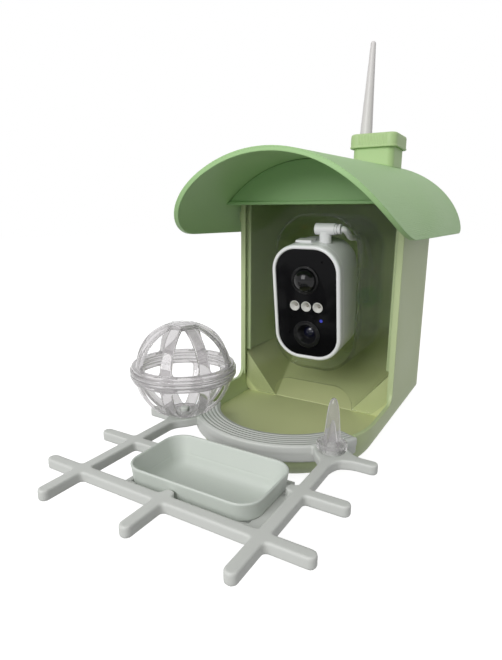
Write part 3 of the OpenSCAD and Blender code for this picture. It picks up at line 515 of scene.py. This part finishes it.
def buildCase():
    inset, depth = caseProfile.T
    corner = np.maximum(case["corner"] - inset, case["leastCorner"])
    x, z = roundedLoops(case["wide"] - 2 * inset, case["tall"] - 2 * inset, corner)
    y = np.broadcast_to(depth[:, None], x.shape)
    body = ringShell(tiltCase(x, y, z)[:, ::-1])
    # the lug behind: a strip with a round end, carried across the width with its edges eased
    turn = np.linspace(-np.pi / 2, np.pi / 2, case["lugSteps"])
    size = case["lugRound"] - lugProfile[:, 1:]
    pivot = case["deep"] + case["lugReach"]
    root = np.full((len(lugProfile), 1), case["deep"] - case["lugSunk"])
    y = np.concatenate([root, pivot + size * np.cos(turn), root], 1)
    z = np.concatenate([-size, size * np.sin(turn), size], 1)
    x = np.broadcast_to(lugProfile[:, :1] * case["lugHalf"], y.shape)
    return joinShells(body, ringShell(tiltCase(x, y, z)))


makePiece("cameraCase", buildCase(), "camera", "white_plastic", finish["white"],
          "cam_bezel", "cam_shell")
print("camera case built")

# dish: one rounded loop carried up the outside, over the lip and down the inside
dishShape = dict(corner=12.0, leastCorner=2.5, cornerLoss=0.75, cornerSlack=0.05, wall=1.8,
                 lowInset=4.0, drop=9.0, step=1.2, flat=18.0)


def buildDish():
    low, high = span("dish")
    mid, (wide, deep, _) = (low + high) / 2, high - low
    foot, top, flat = low[2], high[2], dishShape["flat"]
    seat, floor = foot + dishShape["drop"], foot + dishShape["wall"]
    i, s, w = dishShape["lowInset"], dishShape["step"], dishShape["wall"]
    # inset from the outline and height: foot, ledge, outer wall, lip, inner wall, floor
    profile = np.array([
        (flat, foot), (i + 1.6, foot), (i + 0.5, foot + 0.5), (i, foot + 1.6),
        (i, seat - 0.3), (i - 0.3, seat), (s + 0.5, seat), (s, seat + 0.5), (s - 0.1, seat + 2),
        (0.35, top - 1.6), (0.05, top - 0.9), (0.05, top - 0.5), (0.3, top - 0.12), (0.75, top),
        (1.25, top - 0.1), (1.6, top - 0.5), (1.75, top - 1.1), (s + w - 0.4, top - 4),
        (i + w - 1.0, floor + 5.0), (i + w - 0.5, floor + 3.4), (i + w + 0.5, floor + 1.7),
        (i + w + 2.2, floor + 0.5), (i + w + 4.4, floor), (flat, floor)])
    inset, z = profile.T
    corner = np.maximum(dishShape["corner"] - dishShape["cornerLoss"] * inset,
                        dishShape["leastCorner"])
    corner = np.minimum(corner, deep / 2 - inset - dishShape["cornerSlack"])
    x, y = roundedLoops(wide - 2 * inset, deep - 2 * inset, corner)
    z = np.broadcast_to(z[:, None], x.shape)
    return ringShell(np.stack([x + mid[0], y + mid[1], z], -1))


makePiece("feedDish", buildDish(), "dish", "pale_plastic", finish["pale"], "dish")
print("dish built")

# suet ball: ribs along the meridians, a disc at the pole and a stepped band at the waist
cage = dict(ribs=8, ribSteps=26, phase=18.0, ribWide=7.5, ribRim=2.0, ribEase=0.6, thick=2.2,
            round=33.0, bandEnd=4.0, hub=11.6, hubLap=3.0, hubStart=0.03, hubSteps=14, hubCols=64,
            fillet=4.0, perEase=4, ease=0.5)
# outer radius, low and high of each half's bands, measured from the ball's middle
cageBands = {1: ((35.6, 0.1, 2.4), (34.3, 2.2, 5.0)), -1: ((35.6, -2.6, -0.2), (34.3, -5.2, -2.4))}
# inner and outer radius, low and high of the socket for the frame's peg
cageSocket = (3.3, 7.0, -32.25, -29.4)


def ribShells(poleSide):
    # each rib is a flat strip bent to the sphere; it widens by a quarter circle where it meets the
    # band
    r, t, f = cage["round"], cage["thick"], cage["fillet"]
    bandAngle = math.acos(cage["bandEnd"] / r)
    hubAngle = math.asin((cage["hub"] - cage["hubLap"]) / r)
    angle = np.linspace(hubAngle, bandAngle, cage["ribSteps"])
    left = np.minimum((bandAngle - angle) * r, f)
    half = cage["ribWide"] / 2 + f - np.sqrt(np.maximum(f ** 2 - (f - left) ** 2, 0))
    u, v = roundedLoops(cage["ribRim"], t, cage["ribEase"], cage["perEase"])
    side = np.sign(u[0]) * (half[:, None] - cage["ribRim"] / 2) + u
    depth = r - t / 2 + v
    up = np.array([0, 0, poleSide])
    shells = []
    for k in range(cage["ribs"]):
        a = math.radians(cage["phase"]) + 2 * math.pi * k / cage["ribs"]
        out = np.array([math.cos(a), math.sin(a), 0])
        turn = np.array([-math.sin(a), math.cos(a), 0])
        direction = np.sin(angle)[:, None] * out + np.cos(angle)[:, None] * up
        rings = direction[:, None] * depth[..., None] + side[..., None] * turn
        shells.append(ringShell(rings[:, ::-poleSide]))
    return shells


def bandShell(centre, r0, r1, z0, z1):
    # a band between two radii and two heights, with eased corners, turned about the centre
    u, v = roundedLoops(r1 - r0, z1 - z0, cage["ease"], cage["perEase"])
    profile = np.stack([u[0] + (r0 + r1) / 2, v[0] + (z0 + z1) / 2], -1)
    return ringShell(latheRings(profile, centre)[::-1], wrapRows=True)


def hubShell(poleSide, centre):
    # cap of the sphere with its own thickness
    r, t = cage["round"], cage["thick"]
    a = np.linspace(cage["hubStart"], 1, cage["hubSteps"]) * math.asin(cage["hub"] / r)
    arc = np.stack([np.sin(a), np.cos(a)], -1)
    profile = np.concatenate([r * arc, (r - t) * arc[::-1]]) * [1, poleSide]
    return ringShell(latheRings(profile, centre, cage["hubCols"]))


def buildCage(poleSide):
    low, high = span("ball_upper")
    middle = (low + high) / 2
    middle[2] = high[2] - cage["round"]
    shells = [(p + middle, f) for p, f in ribShells(poleSide)] + [hubShell(poleSide, middle)]
    for outer, bottom, top in cageBands[poleSide]:
        shells.append(bandShell(middle, cage["round"] - cage["thick"], outer, bottom, top))
    if poleSide < 0:
        shells.append(bandShell(middle, *cageSocket))
    return joinShells(*shells)


makePiece("suetCageTop", buildCage(1), "ball_top", "clear_plastic", finish["cage"], "ball_upper",
          crease=50)
makePiece("suetCageBase", buildCage(-1), "ball_base", "clear_plastic", finish["cage"], "ball_lower",
          crease=50)
print("suet cage built")

# spike: a round-nosed bullet turned on its axis, in a fluted cup
prong = dict(base=5.3, taper=0.42, nose=7, tip=0.15, steps=40, cols=48, pegHole=3.3)
spikeCup = dict(wall=1.5, floor=3.0, flutes=20, fluteDeep=0.35, fluteIn=1.0, fluteLow=0.5, cols=120)


def footOf(node):
    # middle of a solid's underside, and its size
    low, high = span(node)
    centre = (low + high) / 2
    centre[2] = low[2]
    return centre, high - low


def buildSpike():
    # the radius falls evenly with height s, from nought to one, times the root of 1 - s to the
    # nose's power
    centre, (_, _, tall) = footOf("spike")
    hole = prong["pegHole"]
    s = np.linspace(0, 1, prong["steps"])
    radius = prong["base"] * (1 - prong["taper"] * s) * np.sqrt(1 - s ** prong["nose"])
    outside = np.stack([np.maximum(radius, prong["tip"]), s], -1)
    inside = [(0.4, 0.55), (1.2, 0.45), (1.9, 0.3), (2.4, 0.15), (hole, 0.05), (hole, 0.0)]
    profile = np.concatenate([inside, outside]) * [1, tall]
    return ringShell(latheRings(profile, centre, prong["cols"]))


def buildCup():
    centre, (wide, _, tall) = footOf("spike_cup")
    r, hole, floor = wide / 2, prong["pegHole"], spikeCup["floor"]
    profile = np.array([
        (hole, 0), (r - 1.8, 0), (r - 0.9, 0.7), (r - 0.2, 2.0), (r, 3.6), (r, tall - 0.5),
        (r - 0.5, tall), (r - 1.0, tall), (r - spikeCup["wall"], tall - 0.6), (r - 2.2, 3.2),
        (r - 2.8, floor), (hole, floor)])
    rings = latheRings(profile, centre, spikeCup["cols"])
    # flutes: a cosine wave round the outside, above the foot
    a = np.linspace(0, 2 * np.pi, spikeCup["cols"], endpoint=False)
    wave = spikeCup["fluteDeep"] / r * (0.5 + 0.5 * np.cos(spikeCup["flutes"] * a))
    fluted = (profile[:, 0] > r - spikeCup["fluteIn"]) & (profile[:, 1] > spikeCup["fluteLow"])
    flute = 1 - wave * fluted[:, None]
    rings[..., :2] = centre[:2] + (rings[..., :2] - centre[:2]) * flute[..., None]
    return ringShell(rings, wrapRows=True)


makePiece("spikeProng", buildSpike(), "spike", "clear_plastic", finish["cage"], "spike")
makePiece("spikeCup", buildCup(), "spike", "clear_plastic", finish["cage"], "spike_cup", crease=25)
print("spike built")

# filler lid: a rounded square cap with an eased top, a lip below and grip grooves front and back
cap = dict(corner=7.0, leastCorner=2.5, perCorner=10, perFlat=96, gripInset=0.5, gripSlack=0.1,
           gripPitch=2.6, gripHalf=13.0, gripDeep=0.45)


def flattedLoops(wide, corner):
    # rounded squares with points all along their flats: each arc's end is joined to the next arc's
    # start
    x, y = roundedLoops(wide, wide, corner, cap["perCorner"])
    arcs = np.stack([x, y], -1).reshape(len(x), 4, cap["perCorner"], 2)
    end, start = arcs[:, :, -1:], np.roll(arcs[:, :, :1], -1, axis=1)
    t = np.linspace(0, 1, cap["perFlat"] + 2)[1:-1, None]
    loops = np.concatenate([arcs, end + (start - end) * t], 2).reshape(len(x), -1, 2)
    return loops[..., 0], loops[..., 1]


def buildLid():
    foot, (wide, _, tall) = footOf("filler_lid")
    # inset from the outline and height above the lip's underside
    profile = np.array([
        (3.2, 2.0), (2.9, 0.0), (0.35, 0.0), (0.05, 0.35), (0.05, 1.3), (0.35, 1.6), (0.5, 1.8),
        (0.5, tall - 2.4), (0.75, tall - 1.3), (1.3, tall - 0.55), (2.2, tall - 0.15), (4.0, tall),
        (9.0, tall)])
    inset, z = profile.T
    x, y = flattedLoops(wide - 2 * inset, np.maximum(cap["corner"] - inset, cap["leastCorner"]))
    # grooves: a cosine wave along the front and back faces, on the rows between the lip and the
    # eased top
    gripRow = np.abs(inset - cap["gripInset"]) < cap["gripSlack"]
    gripped = gripRow[:, None] & (np.abs(x) < cap["gripHalf"])
    groove = cap["gripDeep"] * (0.5 - 0.5 * np.cos(2 * np.pi * x / cap["gripPitch"]))
    y = y - np.sign(y) * np.where(gripped, groove, 0)
    z = np.broadcast_to(z[:, None], x.shape)
    return ringShell(np.stack([x, y, z], -1) + foot)


makePiece("fillerCap", buildLid(), "lid", "housing_green", finish["cap"], "filler_lid")
print("filler cap built")

# camera lead: a round sleeve along the route from the plug to the aerial's jack
leadRoute = dict(radius=2.2, cols=16, points=[
    (10, -3.59, 151.05), (22.6, -7.59, 153.05), (25, -3.59, 151.05), (24.5, 6.4, 147.05),
    (24.5, 20, 146.05), (23.5, 31, 143.05), (19, 48.4, 132.05), (14, 63.4, 124.05),
    (6, 80.4, 118.05), (-4, 94.4, 114), (-21.5, 118.58, 110), (-21.5, 135.38, 110),
    (-21.5, 158.58, 110)])


def buildLead():
    path = smoothPath(leadRoute["points"])
    return path, ringShell(sweepRings(path, leadRoute["radius"] * circle(leadRoute["cols"])))


leadPath, leadShell = buildLead()
lead = makePiece("cameraLead", leadShell, None, "lead_white", finish["lead"], "camera_lead")
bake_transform(lead)

# grommet ring in the back wall: a flanged sleeve with a thin skin across its bore
grommet = dict(flange=10.45, flangeThick=1.8, sleeve=8.35, bore=5.5, skinDeep=2.6, skinThick=0.7,
               skinEase=0.5, ease=0.35, centre=0.05, cols=72)


def buildGrommet():
    low, high = span("back_ring")
    mid, long = (low + high) / 2, high[1] - low[1]
    f, thick, s, b = (grommet[k] for k in ("flange", "flangeThick", "sleeve", "bore"))
    e, k, c = grommet["ease"], grommet["skinEase"], grommet["centre"]
    d0, d1 = grommet["skinDeep"], grommet["skinDeep"] + grommet["skinThick"]
    # radius and depth behind the flange's face
    profile = np.array([
        (c, d0), (b - k, d0), (b, d0 - k), (b, e), (b + e, 0.0), (f - e, 0.0), (f, e), (f, thick),
        (s, thick), (s, long - e), (s - e, long), (b + e, long), (b, long - e), (b, d1 + k),
        (b - k, d1), (c, d1)])
    x, z, y = np.moveaxis(latheRings(profile, (0, 0, 0), grommet["cols"]), -1, 0)
    return ringShell(np.stack([x + mid[0], y + low[1], z + mid[2]], -1))


makePiece("grommetRing", buildGrommet(), "housing", "ring_green", finish["ring"], "back_ring")
print("grommet built")

# perch frame: bars, seats and collar drawn as one plan and thickened, with a fillet wherever two of
# them meet
perch = dict(
    step=0.7, margin=2, top=28.0, ease=0.8, fillet=2.4, barWide=6.6, barHigh=6.0, longX=56.0,
    reach=82.0, frontY=-182.0, middleY=-141.0, rearY=-96.0, tipY=-209.0, dishGap=0.8, tongueLap=0.6,
    seatX=54.0, seatY=-94.0, seatRound=9.5, seatFillet=9.0, armWide=16.0, armLong=6.0,
    armFillet=4.0, pegRound=3.0, pegHigh=5.0, pegSunk=2.0, pegEase=0.5,
    trayY=-42.0, collarIn=49.3, collarOut=66.8, collarThick=5.0, collarHalf=66.0, collarFillet=1.5,
    barsFrom=12.0, skirtIn=65.3, skirtLow=17.3, skirtSunk=0.5, skirtEase=0.5, skirtFillet=1.2,
    lipIn=59.4, lipOut=61.9, lipLow=19.8, lipSunk=2.0, lipEase=0.6,
    plateTop=22.5, plateThick=2.5, plateInset=0.5, plateLap=2.0, plateEase=0.4, plateFillet=0.8,
    holeSlack=0.3, holeOver=1.0)


def softest(a, b, k):
    # the lesser of two distances, blended over k where they are close, which leaves a fillet
    h = np.maximum(k - np.abs(a - b), 0) / k
    return np.minimum(a, b) - h * h * k / 4


def band(v, low, high):
    # distance outside the stretch between low and high, below nought within it
    return np.abs(v - (low + high) / 2) - (high - low) / 2


def thicken(plan, z, low, high, ease):
    # a flat outline given height, with its rims rounded
    a, b = plan + ease, band(z, low, high) + ease
    return np.minimum(np.maximum(a, b), 0) + np.hypot(np.maximum(a, 0), np.maximum(b, 0)) - ease


def perchRuns(half, dishLow, dishHigh):
    # start and end of each bar's middle line; the middle bar stops at both sides of the dish
    front, middle, rear, longX = (perch[k] for k in ("frontY", "middleY", "rearY", "longX"))
    reach, tip, gap = perch["reach"] - half, perch["tipY"] + half, perch["dishGap"] + half
    runs = [(-reach, front, reach, front),
            (-reach, middle, dishLow[0] - gap, middle),
            (dishHigh[0] + gap, middle, reach, middle),
            (0.0, tip, 0.0, dishLow[1] + perch["tongueLap"] - half)]
    for s in (-1, 1):
        runs += [(s * longX, tip, s * longX, perch["seatY"]), (s * longX, rear, s * reach, rear)]
    return runs


def buildPerch():
    low, high = span("perch_frame")
    dishLow, dishHigh = span("dish")
    step, top, half = perch["step"], perch["top"], perch["barWide"] / 2
    low, high = low - perch["margin"] * step, high + perch["margin"] * step
    lines = [np.arange(a, b + step, step) for a, b in zip(low, high)]
    x, y, z = np.meshgrid(*lines, indexing="ij", sparse=True)

    def bar(x0, y0, x1, y1, wide=half):
        # distance to a straight run with round ends
        dx, dy = x1 - x0, y1 - y0
        t = np.clip(((x - x0) * dx + (y - y0) * dy) / (dx * dx + dy * dy), 0, 1)
        return np.hypot(x - x0 - t * dx, y - y0 - t * dy) - wide

    def slab(x0, x1, y0, y1):
        return np.maximum(band(x, x0, x1), band(y, y0, y1))

    away = np.hypot(x, y - perch["trayY"])
    bearing = np.degrees(np.arctan2(np.abs(x), perch["trayY"] - y))
    ends = (bearing - perch["collarHalf"]) * np.pi / 180 * away

    def arc(r0, r1):
        # part of a ring round the tray's centre, as long as the collar
        return np.maximum(band(away, r0, r1), ends)

    first, *others = perchRuns(half, dishLow, dishHigh)
    plan = bar(*first)
    for run in others:
        plan = softest(plan, bar(*run), perch["fillet"])
    pegs = []
    for s in (-1, 1):
        seatX, seatY = s * perch["seatX"], perch["seatY"]
        inward = np.array([-seatX, perch["trayY"] - seatY])
        inward = inward / np.linalg.norm(inward) * perch["armLong"]
        fromPeg = np.hypot(x - seatX, y - seatY)
        arm = bar(seatX, seatY, seatX + inward[0], seatY + inward[1], perch["armWide"] / 2)
        seat = softest(fromPeg - perch["seatRound"], arm, perch["armFillet"])
        plan = softest(plan, seat, perch["seatFillet"])
        pegs.append(fromPeg - perch["pegRound"])
    plan = np.maximum(plan, perch["collarIn"] + perch["barsFrom"] - away)
    solid = thicken(plan, z, top - perch["barHigh"], top, perch["ease"])
    collar = arc(perch["collarIn"], perch["collarOut"])
    collar = thicken(collar, z, top - perch["collarThick"], top, perch["ease"])
    solid = softest(solid, collar, perch["collarFillet"])
    skirt = arc(perch["skirtIn"], perch["collarOut"])
    skirt = thicken(skirt, z, perch["skirtLow"], top - perch["skirtSunk"], perch["skirtEase"])
    solid = softest(solid, skirt, perch["skirtFillet"])
    lip = arc(perch["lipIn"], perch["lipOut"])
    lip = thicken(lip, z, perch["lipLow"], top - perch["lipSunk"], perch["lipEase"])
    solid = np.minimum(solid, lip)
    plateTop, inset = perch["plateTop"], perch["plateInset"]
    under = slab(dishLow[0] + inset, dishHigh[0] - inset, perch["frontY"], dishHigh[1] - inset)
    beside = slab(dishHigh[0] - perch["plateLap"], perch["longX"],
                  perch["frontY"], perch["middleY"])
    plate = thicken(np.minimum(under, beside), z, plateTop - perch["plateThick"], plateTop,
                    perch["plateEase"])
    solid = softest(solid, plate, perch["plateFillet"])
    inset = dishShape["lowInset"] - perch["holeSlack"]
    hole = slab(dishLow[0] + inset, dishHigh[0] - inset, dishLow[1] + inset, dishHigh[1] - inset)
    solid = np.maximum(solid, -np.maximum(hole, z - plateTop - perch["holeOver"]))
    for peg in pegs:
        peg = thicken(peg, z, top - perch["pegSunk"], top + perch["pegHigh"], perch["pegEase"])
        solid = np.minimum(solid, peg)
    return netShell(solid, low, step)


makePiece("perchFrame", buildPerch(), "perch", "pale_plastic", finish["frame"], "perch_frame",
          crease=60)
print("perch frame built")

# soft studio: a broad lamp in front, a weak one above, a pale room all round
studio = dict(roomLight=0.40, backdrop=1.0, aim=(0, -0.02, 0.12),
              frontWatts=12.0, frontPlace=(-0.14, -1.25, 0.72), frontSize=0.8,
              topWatts=1.5, topPlace=(0.2, -0.1, 1.4), topSize=1.0,
              floorTint=(0.36, 0.36, 0.36, 1), floorSize=6.0, floorLift=0.92, floorDrop=0.0005)


def lightStudio():
    # the picture sees a white backdrop, while the pieces are lit by a dimmer room
    world = bpy.data.worlds.new("paleRoom")
    scene.world = world
    world.use_nodes = True
    tree = world.node_tree
    tree.nodes.clear()
    room, backdrop = (addNode(tree, "ShaderNodeBackground", {
        "Color": whiteLight, "Strength": studio[k]}).outputs[0] for k in ("roomLight", "backdrop"))
    mix = addNode(tree, "ShaderNodeMixShader", {0: seenRay(tree), 1: room, 2: backdrop})
    addNode(tree, "ShaderNodeOutputWorld", {0: mix.outputs[0]})
    for name in ("front", "top"):
        lamp = bpy.data.lights.new(name + "Lamp", "AREA")
        lamp.energy, lamp.size = studio[name + "Watts"], studio[name + "Size"]
        obj = bpy.data.objects.new(name + "Lamp", lamp)
        scene.collection.objects.link(obj)
        obj.location = studio[name + "Place"]
        aim = Vector(studio["aim"]) - obj.location
        obj.rotation_mode = "QUATERNION"
        obj.rotation_quaternion = aim.to_track_quat("-Z", "Y")


lightStudio()


def layFloor():
    half = studio["floorSize"] / 2
    corners = [(-half, -half, 0), (half, -half, 0), (half, half, 0), (-half, half, 0)]
    mesh = bpy.data.meshes.new("paleFloor")
    mesh.from_pydata(corners, [], [(0, 1, 2, 3)])
    mat, tree, shader = newFinish("paleFloor")
    wire(tree, shader, {
        "Base Color": studio["floorTint"], "Roughness": 1.0, "Specular IOR Level": 0.0,
        "Emission Color": whiteLight,
        "Emission Strength": sums(tree, "MULTIPLY", seenRay(tree), studio["floorLift"])})
    mesh.materials.append(mat)
    floor = bpy.data.objects.new("paleFloor", mesh)
    floor.location.z = -studio["floorDrop"]
    scene.collection.objects.link(floor)


layFloor()
scene.view_settings.view_transform = "Standard"

print("feeder ready")
